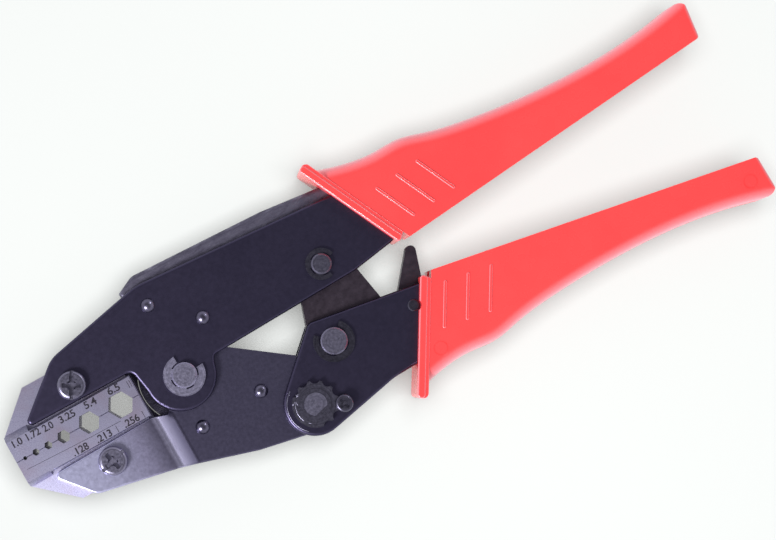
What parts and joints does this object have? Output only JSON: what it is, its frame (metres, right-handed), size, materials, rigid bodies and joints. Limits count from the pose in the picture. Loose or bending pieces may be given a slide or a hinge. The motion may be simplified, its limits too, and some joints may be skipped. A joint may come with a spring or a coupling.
{
  "type": "crimping tool",
  "caption": "Ratchet crimping tool with hex coax dies, toggle linkage, release pawl, eccentric pressure adjuster and two moulded grips.",
  "frame": {"origin": "Middle of the tool's footprint, at the level of the table that its back lies on.", "axes": "+X runs from the jaws to the grips along the dies' parting line, +Y from the moving handle to the fixed one, +Z out of the front face, away from the table."},
  "size_m": [0.2232, 0.0724, 0.0193],
  "materials": {
    "grip_plastic": "moulded vinyl sleeve, coral red, glossy",
    "plate_steel": "blackened stamped steel, faint bluish sheen",
    "spine_steel": "blackened steel, rough milled edge",
    "die_steel": "ground steel, satin",
    "link_steel": "blackened steel, brownish",
    "rivet_steel": "blackened steel, rubbed bright on the domes",
    "pin_steel": "blackened steel, semi-gloss",
    "spring_steel": "drawn spring wire"
  },
  "bodies": {
    "frame": {"frame_front_plate": "plate_steel", "frame_rear_plate": "plate_steel", "frame_spine": "spine_steel", "frame_rivets": "rivet_steel", "frame_tail_rivets": "rivet_steel", "main_pivot_pin": "pin_steel", "main_pivot_clip": "pin_steel", "link_upper_pin": "pin_steel", "link_upper_clip": "pin_steel", "upper_die": "die_steel", "upper_die_screw": "pin_steel", "return_spring_anchor": "pin_steel", "fixed_grip": "grip_plastic", "return_spring": "spring_steel"},
    "jaw": {"jaw_front_plate": "plate_steel", "jaw_rear_plate": "plate_steel", "jaw_spacer": "spine_steel", "jaw_rivets": "rivet_steel", "lower_die": "die_steel", "lower_die_screw": "pin_steel"},
    "handle": {"handle_front_plate": "plate_steel", "handle_rear_plate": "plate_steel", "handle_spacer": "spine_steel", "handle_rivets": "rivet_steel", "link_lower_pin": "pin_steel", "link_lower_clip": "pin_steel", "pawl_pin": "pin_steel", "pawl_washers": "pin_steel", "adjuster_lock_screw": "pin_steel", "pawl_spring_anchor": "pin_steel", "moving_grip": "grip_plastic", "pawl_spring": "spring_steel"},
    "toggle_link": {"link_front_plate": "link_steel", "link_rear_plate": "link_steel", "ratchet_plate": "link_steel"},
    "pawl": {"release_pawl": "link_steel"},
    "adjuster": {"eccentric_pin": "pin_steel", "adjuster_wheel": "pin_steel", "adjuster_clip": "pin_steel"}
  },
  "joints": [
    {"name": "handle_hinge", "type": "hinge", "parent": "jaw", "child": "handle", "pos_m": [-0.03334, -0.02278, 0.0096], "axis": [0, 0, 1], "range_deg": [-50, 0]},
    {"name": "jaw_hinge", "type": "hinge", "parent": "frame", "child": "jaw", "pos_m": [-0.06064, 0.00172, 0.0096], "axis": [0, 0, 1], "range_deg": [0, 15.3]},
    {"name": "link_hinge", "type": "hinge", "parent": "frame", "child": "toggle_link", "pos_m": [-0.01314, 0.01002, 0.0096], "axis": [0, 0, 1], "range_deg": [0, 30], "deforming": ["return_spring"]},
    {"name": "pawl_hinge", "type": "hinge", "parent": "handle", "child": "pawl", "pos_m": [0.00366, -0.01238, 0.0096], "axis": [0, 0, 1], "range_deg": [-10, 10], "stiffness_Nm_per_rad": 0.02, "deforming": ["pawl_spring"]},
    {"name": "adjuster_turn", "type": "hinge", "parent": "handle", "child": "adjuster", "pos_m": [-0.03334, -0.02278, 0.0096], "axis": [0, 0, 1], "continuous": true}
  ],
  "couplings": [
    {"joint": "jaw_hinge", "follows": "handle_hinge", "ratio": -0.3035},
    {"joint": "link_hinge", "follows": "handle_hinge", "ratio": -0.5955}
  ]
}
